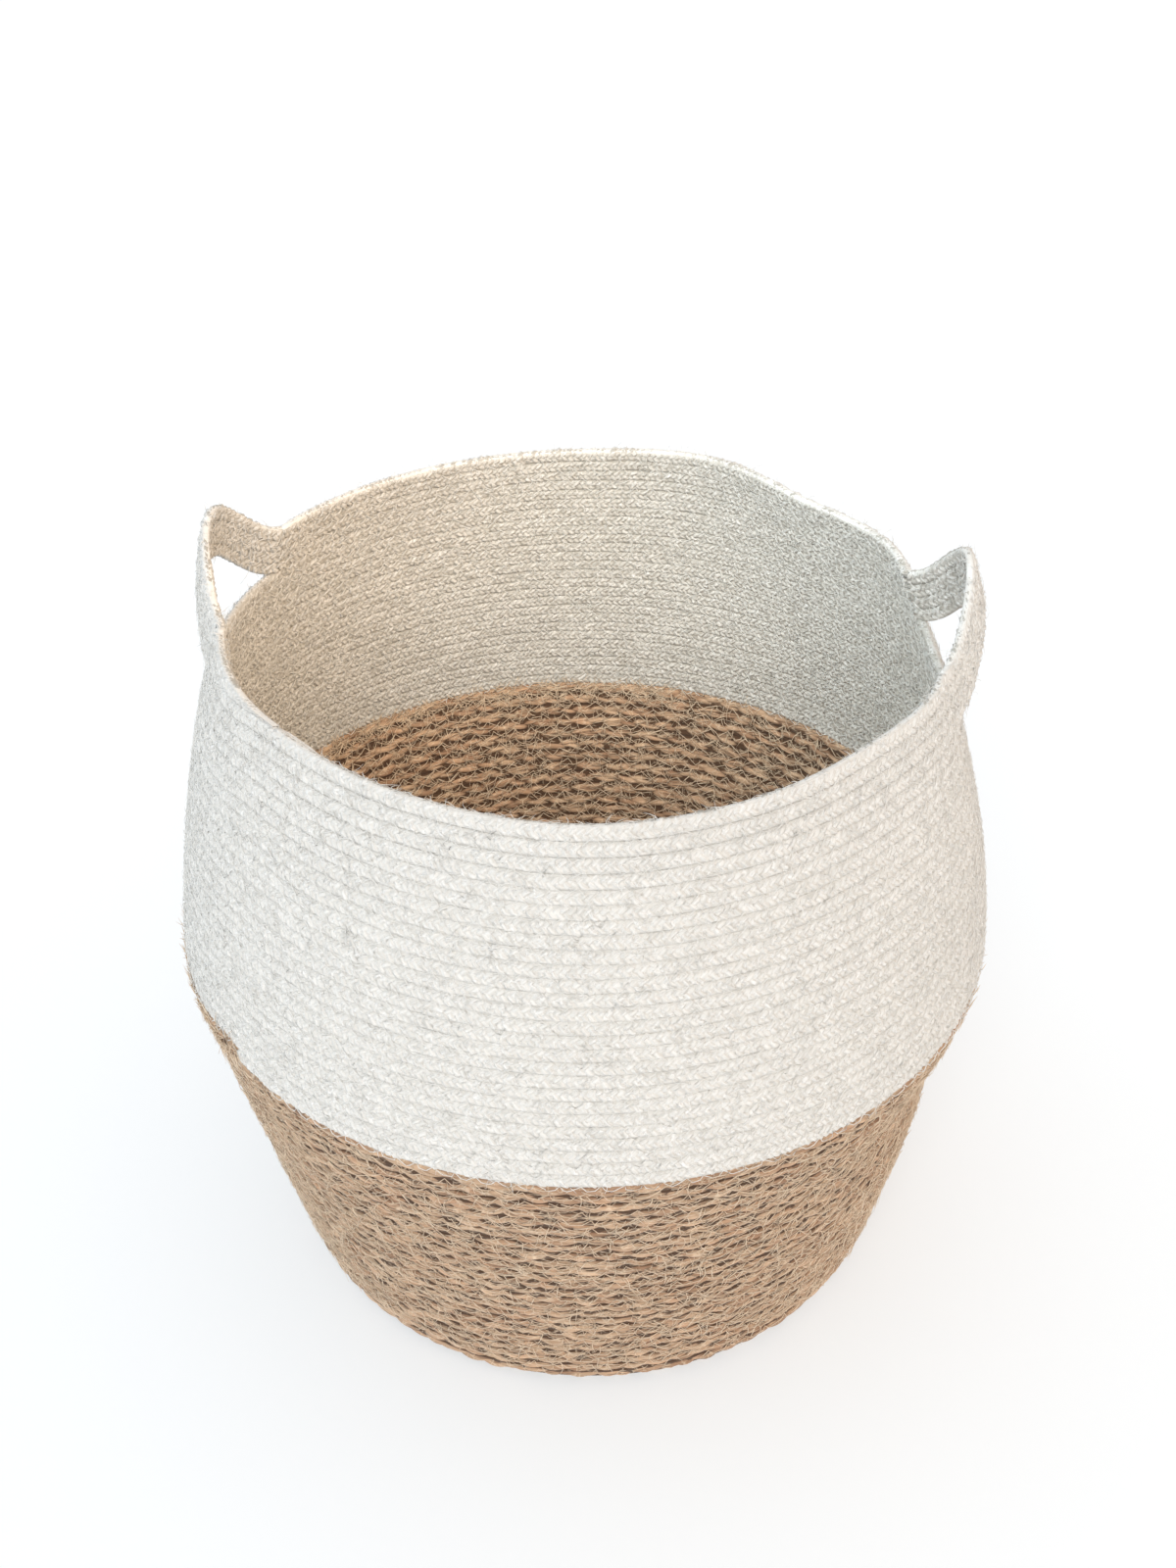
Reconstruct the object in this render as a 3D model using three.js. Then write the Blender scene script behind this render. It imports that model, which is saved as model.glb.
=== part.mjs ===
// A round, belly-shaped laundry basket made of flat three-strand braid, coiled and sewn edge to edge.
// The base and the lower wall are one long natural jute braid. The upper wall is one long off-white
// cotton braid, whose last four turns leave the wall at each side and bow out into a carrying handle.
// Millimetres, +Z up. The origin is the centre of the base, on the floor.
import * as THREE from "three";

// Driving dimensions of the body.
const RIM_HEIGHT = 400;
const BELLY_HEIGHT = 212; // the widest turn, where the natural braid ends and the white one starts
const FOOT_HEIGHT = 12; // top of the turn that rolls from the base up into the wall
const BASE_RADIUS = 175.8; // outer edge of the flat that stands on the floor
const FOOT_RADIUS = 183;
const BELLY_RADIUS = 227.3;
const RIM_RADIUS = 188.5;
const NATURAL_THICKNESS = 7.5;
const WHITE_THICKNESS = 7;
const FOOT_SHIFT = 3; // the base sits this far towards +X under the belly
const DENT = { angle: -24, height: 160, depth: 8, reach: 38, spread: 32 }; // a soft hollow under the belly
const UPPER_WALL_LEAN = 16; // the part of the shoulder's draw-in that is a straight lean

// The upper turns follow a rim that hand shaping has left a little out of round.
const RIM_PUSH = [-14, -6, -11, 5, 0, -1, 1, 4, 1, 0, -3, -1, 3, 0, -3, 1]; // one value each 22.5 degrees
const PUSH_START = 20; // height above the belly where the rim's shape starts to tell
const PUSH_POWER = 1.4;

// Turns and handles.
const TURN_PITCH = 7.34;
const HANDLE_TURNS = 4;
const BAND_HEIGHT = HANDLE_TURNS * TURN_PITCH;
const BAND_FOOT = RIM_HEIGHT - BAND_HEIGHT;
const HANDLES = [
  { side: "left", angle: 169, halfSpan: 54, rise: 31, bow: 13, lean: 3, peak: -0.15 },
  { side: "right", angle: -5, halfSpan: 53, rise: 32, bow: 21, lean: 3, peak: 0.3 },
];
const HANDLE_CLEARANCE = 2.4; // under a strap's lowest turn, so that it can tip without catching the wall

const GAP = 0.3; // between neighbouring turns
const SEGMENTS = 72; // round the basket
const ARC_STEPS = 40;
const STRAP_STEPS = 24;

const natural = new THREE.MeshStandardMaterial({ color: 0xc49e7b, roughness: 0.95, metalness: 0 });
const white = new THREE.MeshStandardMaterial({ color: 0xe9e4da, roughness: 0.95, metalness: 0 });

const radians = THREE.MathUtils.degToRad;

// How far the rim stands out of round at an angle: a smooth closed curve through RIM_PUSH.
function rimPush(angle) {
  const count = RIM_PUSH.length;
  const turn = THREE.MathUtils.euclideanModulo(angle / (2 * Math.PI), 1) * count;
  const first = Math.floor(turn);
  const t = turn - first;
  const at = (k) => RIM_PUSH[(first + k + count) % count];
  const [a, b, c, d] = [at(-1), at(0), at(1), at(2)];
  return 0.5 * (2 * b + (c - a) * t + (2 * a - 5 * b + 4 * c - d) * t ** 2 + (3 * b - a - 3 * c + d) * t ** 3);
}

// Outer radius of the round basket at a height.
function profileRadius(z) {
  if (z >= BELLY_HEIGHT) {
    const t = (z - BELLY_HEIGHT) / (RIM_HEIGHT - BELLY_HEIGHT);
    const drawIn = BELLY_RADIUS - RIM_RADIUS;
    return BELLY_RADIUS - UPPER_WALL_LEAN * t - (drawIn - UPPER_WALL_LEAN) * t * t;
  }
  const t = Math.max(0, (z - FOOT_HEIGHT) / (BELLY_HEIGHT - FOOT_HEIGHT));
  return FOOT_RADIUS + (BELLY_RADIUS - FOOT_RADIUS) * t;
}

// How far the lower wall stands out of round: the foot's shift, less the hollow.
function lowerPush(angle, z) {
  const below = Math.max(0, 1 - z / BELLY_HEIGHT);
  const aside = THREE.MathUtils.euclideanModulo(angle - radians(DENT.angle) + Math.PI, 2 * Math.PI) - Math.PI;
  const nearness = Math.exp(-((aside / radians(DENT.spread)) ** 2) - ((z - DENT.height) / DENT.reach) ** 2);
  return FOOT_SHIFT * below * Math.cos(angle) - DENT.depth * nearness * Math.min(1, 4 * below);
}

// Outer radius of the real, slightly uneven wall.
function wallRadius(angle, z) {
  const start = BELLY_HEIGHT + PUSH_START;
  const t = Math.max(0, (z - start) / (RIM_HEIGHT - start));
  return profileRadius(z) + t ** PUSH_POWER * rimPush(angle) + lowerPush(angle, z);
}

function namedMesh(name, geometry, material) {
  geometry.computeVertexNormals();
  const mesh = new THREE.Mesh(geometry, material);
  mesh.name = name;
  return mesh;
}

// A closed ring turned from a profile of [radius, height] points, then pushed out of round with the wall.
function ringGeometry(profile) {
  const points = [...profile, profile[0]].map(([r, z]) => new THREE.Vector2(r, z));
  const geometry = new THREE.LatheGeometry(points, SEGMENTS);
  geometry.rotateX(Math.PI / 2);
  const position = geometry.getAttribute("position");
  for (let i = 0; i < position.count; i++) {
    const [x, y, z] = [position.getX(i), position.getY(i), position.getZ(i)];
    const angle = Math.atan2(y, x);
    const onWall = Math.min(1, Math.hypot(x, y) / (BASE_RADIUS - NATURAL_THICKNESS));
    const scale = 1 + (onWall * (wallRadius(angle, z) - profileRadius(z))) / Math.max(1, Math.hypot(x, y));
    position.setXY(i, x * scale, y * scale);
  }
  return geometry;
}

// A box bent into place: at(u, v, w) gives the point for u along, v outwards and w up, each from 0 to 1.
function bentBox(steps, at) {
  const geometry = new THREE.BoxGeometry(1, 1, 1, steps, 1, 1);
  const position = geometry.getAttribute("position");
  for (let i = 0; i < position.count; i++) {
    const point = at(position.getX(i) + 0.5, position.getY(i) + 0.5, position.getZ(i) + 0.5);
    position.setXYZ(i, ...point);
  }
  return geometry;
}

// One band of wall, several turns high, between two heights.
function wallBand(name, low, high, steps, thickness, material) {
  const heights = Array.from({ length: steps + 1 }, (_, i) => low + ((high - low) * i) / steps);
  const outer = heights.map((z) => [profileRadius(z), z]);
  const inner = heights.map((z) => [profileRadius(z) - thickness, z]).reverse();
  return namedMesh(name, ringGeometry([...outer, ...inner]), material);
}

// The flat spiral of the base, with the folded end that the coil starts from at its centre.
function base() {
  const startRadius = 11;
  const start = new THREE.CylinderGeometry(startRadius, startRadius, NATURAL_THICKNESS, 24);
  start.rotateX(Math.PI / 2).translate(0, 0, NATURAL_THICKNESS / 2);
  const inner = startRadius + GAP;
  const outer = BASE_RADIUS - NATURAL_THICKNESS;
  const disc = [[inner, 0], [outer, 0], [outer, NATURAL_THICKNESS], [inner, NATURAL_THICKNESS]];
  return [
    namedMesh("base_coil_start", start, natural),
    namedMesh("base_coil", ringGeometry(disc), natural),
  ];
}

// The turn that rolls from the flat base up into the wall.
function footTurn() {
  const inner = BASE_RADIUS - NATURAL_THICKNESS + GAP;
  const top = FOOT_HEIGHT - GAP;
  const rollSteps = 4;
  const roll = Array.from({ length: rollSteps + 1 }, (_, i) => {
    const a = (Math.PI / 2) * (i / rollSteps);
    return [BASE_RADIUS + (FOOT_RADIUS - BASE_RADIUS) * Math.sin(a), top * (1 - Math.cos(a))];
  });
  const inside = [[FOOT_RADIUS - NATURAL_THICKNESS, top], [inner, NATURAL_THICKNESS], [inner, 0]];
  return namedMesh("foot_turn", ringGeometry([...roll, ...inside]), natural);
}

// The wall below the handles: three bands of natural braid, then three of white.
function wall() {
  const bands = ["lower", "middle", "upper"];
  const stack = (colour, low, high, steps, thickness, material) =>
    bands.map((place, i) => {
      const height = (high - low) / bands.length;
      const foot = low + i * height;
      return wallBand(`${colour}_wall_${place}`, foot, foot + height - GAP, steps, thickness, material);
    });
  return [
    ...stack("natural", FOOT_HEIGHT, BELLY_HEIGHT, 2, NATURAL_THICKNESS, natural),
    ...stack("white", BELLY_HEIGHT, BAND_FOOT, 3, WHITE_THICKNESS, white),
  ];
}

// Height of a point in one of the four top turns, counted from 1 at the bottom.
function turnHeight(turn, w) {
  return BAND_FOOT + (turn - 1) * TURN_PITCH + w * (TURN_PITCH - GAP);
}

// Half of the angle that a handle's root planes leave open at a radius.
function rootAngle(radius, halfSpan) {
  return Math.asin(halfSpan / radius);
}

// One top turn between the handles. Its ends are flat and face the handles' roots squarely.
function rimTurn(place, turn, from, to) {
  const at = (u, v, w) => {
    const z = turnHeight(turn, w);
    const radiusAt = (angle) => wallRadius(angle, z) - (1 - v) * WHITE_THICKNESS;
    const first = radians(from.angle);
    const last = radians(to.angle) + (to.angle < from.angle ? 2 * Math.PI : 0);
    const start = first + rootAngle(radiusAt(first + rootAngle(RIM_RADIUS, from.halfSpan)), from.halfSpan + GAP);
    const end = last - rootAngle(radiusAt(last - rootAngle(RIM_RADIUS, to.halfSpan)), to.halfSpan + GAP);
    const angle = THREE.MathUtils.lerp(end, start, u);
    const radius = radiusAt(angle);
    return [radius * Math.cos(angle), radius * Math.sin(angle), z];
  };
  return namedMesh(`rim_${place}_turn_${turn}`, bentBox(ARC_STEPS, at), white);
}

// One turn of a handle's strap, from root plane to root plane. It rises and bows outwards between them.
function handleTurn(handle, turn) {
  const middle = radians(handle.angle);
  const at = (u, v, w) => {
    const s = 1 - 2 * u; // -1 at one root, 1 at the other
    const along = s * handle.halfSpan;
    const fromPeak = (s - handle.peak) / (1 - handle.peak * s);
    const lift = Math.cos((Math.PI * fromPeak) / 2) ** 2;
    const out = 1 - fromPeak ** 2;
    const z = turnHeight(turn, w);
    const acrossBand = (z - BAND_FOOT) / BAND_HEIGHT;
    const angle = middle + Math.asin(along / RIM_RADIUS);
    const bow = handle.bow + handle.lean * (acrossBand - 0.5);
    const radius = wallRadius(angle, z) + bow * out - (1 - v) * WHITE_THICKNESS;
    const outwards = Math.sqrt(radius ** 2 - along ** 2);
    const clearance = turn === 1 && w === 0 ? HANDLE_CLEARANCE : 0;
    return [
      outwards * Math.cos(middle) - along * Math.sin(middle),
      outwards * Math.sin(middle) + along * Math.cos(middle),
      z + handle.rise * lift + clearance,
    ];
  };
  return namedMesh(`handle_${handle.side}_turn_${turn}`, bentBox(STRAP_STEPS, at), white);
}

// A braid's last few centimetres, folded back and sewn to the inside of the wall.
function tuckedEnd(name, middleDegrees, z, thickness, material) {
  const length = 42;
  const height = 6;
  const depth = 4;
  const at = (u, v, w) => {
    const face = wallRadius(radians(middleDegrees), z + height) - thickness - GAP;
    const angle = radians(middleDegrees) - ((u - 0.5) * length) / face;
    const inside = Math.min(wallRadius(angle, z), wallRadius(angle, z + height)) - thickness - GAP;
    const radius = inside - 0.6 - (1 - v) * depth;
    return [radius * Math.cos(angle), radius * Math.sin(angle), z + w * height];
  };
  return namedMesh(name, bentBox(6, at), material);
}

const basket = new THREE.Group();
basket.add(...base(), footTurn(), ...wall());
const [left, right] = HANDLES;
for (let turn = 1; turn <= HANDLE_TURNS; turn++) {
  basket.add(rimTurn("back", turn, right, left), rimTurn("front", turn, left, right));
  for (const handle of HANDLES) basket.add(handleTurn(handle, turn));
}
basket.add(
  tuckedEnd("natural_braid_end", 250, BELLY_HEIGHT - 10, NATURAL_THICKNESS, natural),
  tuckedEnd("white_braid_end", 222, RIM_HEIGHT - 9, WHITE_THICKNESS, white),
);

export default basket;
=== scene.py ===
"""Woven laundry basket: two three-strand braids, one jute and one cotton, coiled and sewn into a belly-shaped
basket with two carrying handles, each made of the coil's last four turns."""

import logging
import math
from dataclasses import dataclass, field
from enum import Enum
from functools import cache

import bpy
import numpy as np
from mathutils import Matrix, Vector


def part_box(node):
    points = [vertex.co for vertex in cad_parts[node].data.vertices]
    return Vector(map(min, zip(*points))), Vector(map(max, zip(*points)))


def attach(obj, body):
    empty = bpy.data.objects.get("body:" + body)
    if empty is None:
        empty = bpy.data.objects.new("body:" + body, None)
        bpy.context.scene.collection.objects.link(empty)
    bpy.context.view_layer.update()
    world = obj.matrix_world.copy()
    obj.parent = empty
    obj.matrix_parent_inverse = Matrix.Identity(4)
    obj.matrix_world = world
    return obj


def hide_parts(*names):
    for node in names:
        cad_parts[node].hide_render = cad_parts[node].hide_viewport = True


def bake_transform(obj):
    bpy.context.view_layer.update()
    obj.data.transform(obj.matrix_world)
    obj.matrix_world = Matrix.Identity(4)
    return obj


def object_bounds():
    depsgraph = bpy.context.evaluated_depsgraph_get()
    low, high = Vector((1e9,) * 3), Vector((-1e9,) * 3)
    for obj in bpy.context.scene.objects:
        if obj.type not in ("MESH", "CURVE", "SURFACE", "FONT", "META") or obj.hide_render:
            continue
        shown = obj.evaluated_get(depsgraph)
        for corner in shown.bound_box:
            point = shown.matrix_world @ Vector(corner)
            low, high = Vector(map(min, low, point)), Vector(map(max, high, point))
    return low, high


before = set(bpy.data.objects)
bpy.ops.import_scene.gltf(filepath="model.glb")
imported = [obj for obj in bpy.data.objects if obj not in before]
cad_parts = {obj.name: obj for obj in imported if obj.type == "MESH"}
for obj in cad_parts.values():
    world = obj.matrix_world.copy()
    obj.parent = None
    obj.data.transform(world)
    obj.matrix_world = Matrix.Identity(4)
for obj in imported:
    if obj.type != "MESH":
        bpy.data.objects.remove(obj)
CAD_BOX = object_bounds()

log = logging.getLogger("woven_basket")

MM = 0.001
TURN = 2.0 * math.pi
SEED = 417

Triple = tuple[float, float, float]

# The wall, as in the part's source.
RIM_HEIGHT = 400 * MM
BELLY_HEIGHT = 212 * MM
FOOT_HEIGHT = 12 * MM
FOOT_RADIUS = 183 * MM
BELLY_RADIUS = 227.3 * MM
RIM_RADIUS = 188.5 * MM
UPPER_WALL_LEAN = 16 * MM
FOOT_SHIFT = 3 * MM
PUSH_START = 20 * MM
PUSH_POWER = 1.4
RIM_PUSH = (-14, -6, -11, 5, 0, -1, 1, 4, 1, 0, -3, -1, 3, 0, -3, 1)  # millimetres, one each 22.5 degrees

# The coil, counted in turns from the foot.
BAND_TURNS = 4
WHITE_WALL_TURNS = 22
NATURAL_WALL_TURNS = 25
TURN_PITCH = 7.34 * MM
BAND_HEIGHT = BAND_TURNS * TURN_PITCH
BAND_FOOT = RIM_HEIGHT - BAND_HEIGHT
WHITE_FOOT = NATURAL_WALL_TURNS
BAND_START = NATURAL_WALL_TURNS + WHITE_WALL_TURNS
COIL_END = BAND_START + BAND_TURNS
STEP_UP_END = 218.0  # degrees: where each level turn has just climbed to the next
STEP_UP_SHARE = 0.05  # of a turn
FLAT_BASE_RADIUS = 172 * MM
BASE_START_RADIUS = 4.5 * MM
BASE_START_INSET = 1.0  # turns further in that the braid is laid, so that its fold closes the middle
BASE_START_TURNS = 1.7
BASE_INNER_END = -7.0
FOOT_TURN_START = -1.4


class Face(Enum):
    """The side of the wall that a thread or fibre lies on."""

    OUTSIDE = 1.0
    INSIDE = -1.0


def smoothstep(x: np.ndarray) -> np.ndarray:
    """Return x clipped to 0..1 and eased at both ends."""
    x = np.clip(x, 0.0, 1.0)
    return x * x * (3.0 - 2.0 * x)


def unit(v: np.ndarray) -> np.ndarray:
    """Return the rows of v scaled to length 1."""
    return v / np.maximum(np.linalg.norm(v, axis=-1, keepdims=True), 1e-12)


def wrap(angle: np.ndarray) -> np.ndarray:
    """Return angles in radians brought into -pi..pi."""
    return (angle + math.pi) % TURN - math.pi


def wander(rng: np.random.Generator, along: np.ndarray, step: float, amount: float) -> np.ndarray:
    """Smooth random drift along a braid.

    Args:
        rng: The source of random numbers.
        along: Distance along the braid, rising, in metres.
        step: Distance between independent values.
        amount: Largest drift either way.

    Returns:
        One value for each entry of along.
    """
    low = along.min()
    knots = rng.uniform(-amount, amount, int((along.max() - low) / step) + 3)
    place = (along - low) / step
    first = place.astype(int)
    return knots[first] + (knots[first + 1] - knots[first]) * smoothstep(place - first)


@dataclass(frozen=True)
class HandleForm:
    """One carrying handle, as in the part's source: angles in degrees, lengths in metres."""

    side: str
    angle: float
    half_span: float
    rise: float
    bow: float
    lean: float
    peak: float

    @property
    def half_angle(self) -> float:
        """The angle from the middle to a root, in radians."""
        return math.asin(self.half_span / RIM_RADIUS)

    @property
    def chord(self) -> Vector:
        """The direction from the lower-angle root to the other."""
        a = math.radians(self.angle)
        return Vector((-math.sin(a), math.cos(a), 0.0))


HANDLES = (
    HandleForm("left", 169, 54 * MM, 31 * MM, 13 * MM, 3 * MM, -0.15),
    HandleForm("right", -5, 53 * MM, 32 * MM, 21 * MM, 3 * MM, 0.3),
)


@dataclass(frozen=True)
class BasketForm:
    """The basket's shape: where the middle of the braid lies at each angle and each place up the coil."""

    natural_half: float = 3.75 * MM
    white_half: float = 3.5 * MM
    dent_angle: float = -24.0
    dent_height: float = 160 * MM
    dent_depth: float = 8 * MM
    dent_reach: float = 38 * MM
    dent_spread: float = 32.0
    root_fade: float = 12.0
    base_steps: int = 40
    root_ease: float = 1.2  # how gently the bow starts at a handle's root
    meridian: tuple = field(init=False)

    def __post_init__(self) -> None:
        """Work out the line from the middle of the base to the rim, measured in turns."""
        steps = self.base_steps
        floor_line = np.stack([np.linspace(0, FLAT_BASE_RADIUS, steps), np.full(steps, self.natural_half)], 1)
        wall_foot = np.array([FOOT_RADIUS - self.natural_half, FOOT_HEIGHT])
        corner = np.array([wall_foot[0] - 1 * MM, self.natural_half])
        s = np.linspace(0, 1, 12)[1:, None]
        bend = (1 - s) ** 2 * floor_line[-1] + 2 * s * (1 - s) * corner + s * s * wall_foot
        base = np.concatenate([floor_line, bend])
        heights = np.linspace(FOOT_HEIGHT, BELLY_HEIGHT, 60)
        lower = np.stack([self.profile(heights) - self.natural_half, heights], 1)
        heights = np.linspace(BELLY_HEIGHT, BAND_FOOT, 60)
        upper = np.stack([self.profile(heights) - self.white_half, heights], 1)
        heights = np.linspace(BAND_FOOT, RIM_HEIGHT + TURN_PITCH, 20)
        band = np.stack([self.profile(heights) - self.white_half, heights], 1)
        lengths = [np.concatenate([[0], np.cumsum(np.linalg.norm(np.diff(p, axis=0), axis=1))])
                   for p in (base, lower, upper)]
        pitch = lengths[1][-1] / NATURAL_WALL_TURNS
        places = [
            (lengths[0] - lengths[0][-1]) / pitch,
            lengths[1] / pitch,
            NATURAL_WALL_TURNS + WHITE_WALL_TURNS * lengths[2] / lengths[2][-1],
            BAND_START + (heights - BAND_FOOT) / TURN_PITCH,
        ]
        table = np.concatenate([base[:-1], lower[:-1], upper[:-1], band])
        rows = np.concatenate([places[0][:-1], places[1][:-1], places[2][:-1], places[3]])
        object.__setattr__(self, "meridian", (rows, table[:, 0], table[:, 1]))

    @property
    def start_row(self) -> float:
        """Find where the base coil starts.

        Returns:
            The row, counted from the foot.
        """
        rows, radii, _ = self.meridian
        flat = slice(0, self.base_steps)
        return float(np.interp(BASE_START_RADIUS, radii[flat], rows[flat]))

    def profile(self, z: np.ndarray) -> np.ndarray:
        """Work out the wall before any push.

        Args:
            z: Height above the floor.

        Returns:
            The wall's outer radius there.
        """
        t = (z - BELLY_HEIGHT) / (RIM_HEIGHT - BELLY_HEIGHT)
        drop = BELLY_RADIUS - RIM_RADIUS
        above = BELLY_RADIUS - UPPER_WALL_LEAN * t - (drop - UPPER_WALL_LEAN) * t * t
        rise = np.maximum(0, (z - FOOT_HEIGHT) / (BELLY_HEIGHT - FOOT_HEIGHT))
        below = FOOT_RADIUS + (BELLY_RADIUS - FOOT_RADIUS) * rise
        return np.where(z >= BELLY_HEIGHT, above, below)

    def rim_push(self, angle: np.ndarray) -> np.ndarray:
        """Pass a smooth closed curve through the rim's pushes.

        Args:
            angle: Angle round the basket in radians.

        Returns:
            How far the rim stands out of round there.
        """
        knots = np.array(RIM_PUSH) * MM
        place = (angle / TURN % 1.0) * len(knots)
        i = place.astype(int)
        t = place - i
        a, b, c, d = (knots[(i + n) % len(knots)] for n in (-1, 0, 1, 2))
        square, cube = 2 * a - 5 * b + 4 * c - d, 3 * b - a - 3 * c + d
        return 0.5 * (2 * b + (c - a) * t + square * t**2 + cube * t**3)

    def push(self, angle: np.ndarray, z: np.ndarray) -> np.ndarray:
        """Work out the hand-made unevenness.

        Args:
            angle: Angle round the basket in radians.
            z: Height above the floor.

        Returns:
            How far the wall is pushed outwards there.
        """
        start = BELLY_HEIGHT + PUSH_START
        upper = np.maximum(0, (z - start) / (RIM_HEIGHT - start)) ** PUSH_POWER * self.rim_push(angle)
        below = np.maximum(0, 1 - z / BELLY_HEIGHT)
        turn = wrap(angle - math.radians(self.dent_angle)) / math.radians(self.dent_spread)
        up = (z - self.dent_height) / self.dent_reach
        dent = self.dent_depth * np.exp(-(turn**2) - up**2) * np.minimum(1, 4 * below)
        return upper - dent

    def place(self, angle: np.ndarray, row: np.ndarray) -> np.ndarray:
        """Where the middle of the braid lies.

        Args:
            angle: Angle round the basket in radians, 0 on the right and rising anticlockwise from above.
            row: Place up the coil in turns, 0 at the foot.

        Returns:
            Points in the frame, one row of three each.
        """
        rows, radii, heights = self.meridian
        radius = np.interp(row, rows, radii)
        z = np.interp(row, rows, heights)
        shift = FOOT_SHIFT * np.maximum(0, 1 - z / BELLY_HEIGHT)
        radius = radius + self.push(angle, z)
        polar = angle.copy()
        lift = np.zeros_like(z)
        in_band = np.clip((row - BAND_START + 0.02) / 0.04, 0, 1)
        for h in HANDLES:
            middle = math.radians(h.angle)
            turned = wrap(angle - middle)
            s = np.clip(RIM_RADIUS * np.sin(turned) / h.half_span, -1, 1)
            inside = np.abs(turned) < h.half_angle
            from_peak = (s - h.peak) / (1 - h.peak * s)
            out = np.where(inside, np.maximum(0, 1 - from_peak**2) ** self.root_ease, 0) * in_band
            across = np.clip((z - BAND_FOOT) / BAND_HEIGHT, 0, 1)
            lift += h.rise * np.where(inside, np.cos(math.pi * from_peak / 2) ** 2, 0) * in_band
            radius = radius + (h.bow + h.lean * (across - 0.5)) * out
            exact = np.arcsin(np.clip(s * h.half_span / radius, -1, 1)) - turned
            beyond = (np.abs(turned) - h.half_angle) / math.radians(self.root_fade)
            near = np.where(np.abs(turned) < math.pi / 2, 1 - smoothstep(beyond), 0)
            spread = np.arcsin(h.half_span / np.maximum(radius, BAND_FOOT / 2)) - h.half_angle
            root = np.sign(turned) * spread
            polar += np.where(inside, exact, root * near) * in_band
        return np.stack([radius * np.cos(polar) + shift, radius * np.sin(polar), z + lift], -1)


@dataclass
class CoilPath:
    """The line that one braid follows, sampled at even steps, with its own directions at each."""

    turn: np.ndarray
    along: np.ndarray
    points: np.ndarray
    forward: np.ndarray
    across: np.ndarray
    outward: np.ndarray
    width: np.ndarray


@dataclass(frozen=True)
class Coiler:
    """Lays a braid on the basket's form, turn after turn."""

    form: BasketForm

    def angle(self, turn: np.ndarray) -> np.ndarray:
        """Return the angle in radians that the coil has reached."""
        return math.radians(STEP_UP_END) + TURN * turn

    def row(self, turn: np.ndarray) -> np.ndarray:
        """Work out the coil's climb: a plain spiral on the base, level turns with a step up above.

        Args:
            turn: Place on the coil, in turns.

        Returns:
            The row of its lower edge there.
        """
        whole = np.floor(turn)
        level = whole + smoothstep((turn - whole - 1 + STEP_UP_SHARE) / STEP_UP_SHARE)
        settle = smoothstep(turn / (0.7 * NATURAL_WALL_TURNS))
        return turn + settle * (level - turn)

    def locate(self, turn: np.ndarray, offset: float | np.ndarray) -> np.ndarray:
        """Return points on the coil, offset rows above its lower edge."""
        return self.form.place(self.angle(turn), self.row(turn) + offset)

    def path(self, first: float, last: float, step: float, offset: float = 0.5) -> CoilPath:
        """Sample the coil at even steps.

        Args:
            first: The turn to start at.
            last: The turn to end at.
            step: The distance between samples.
            offset: Place across the braid, 0 at its lower edge and 1 at its upper.

        Returns:
            The sampled line.
        """
        rough = np.linspace(first, last, int((last - first) * 720) + 2)
        points = self.locate(rough, offset)
        run = np.concatenate([[0], np.cumsum(np.linalg.norm(np.diff(points, axis=0), axis=1))])
        along = np.arange(0, run[-1], step)
        turn = np.interp(along, run, rough)
        fade = np.clip((turn - (COIL_END - STEP_UP_SHARE)) / STEP_UP_SHARE, 0, 1)
        taper = 1 - smoothstep(fade)
        middle = offset + np.where(taper < 1, -0.5 * (1 - taper), 0)
        here = self.locate(turn, middle)
        small = 0.08
        forward = unit(np.gradient(here, axis=0))
        across = unit(self.locate(turn, middle + small) - self.locate(turn, middle - small))
        outward = unit(np.cross(forward, across))
        across = unit(np.cross(outward, forward))
        return CoilPath(turn, along, here, forward, across, outward, np.maximum(taper, 0.12))


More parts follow.
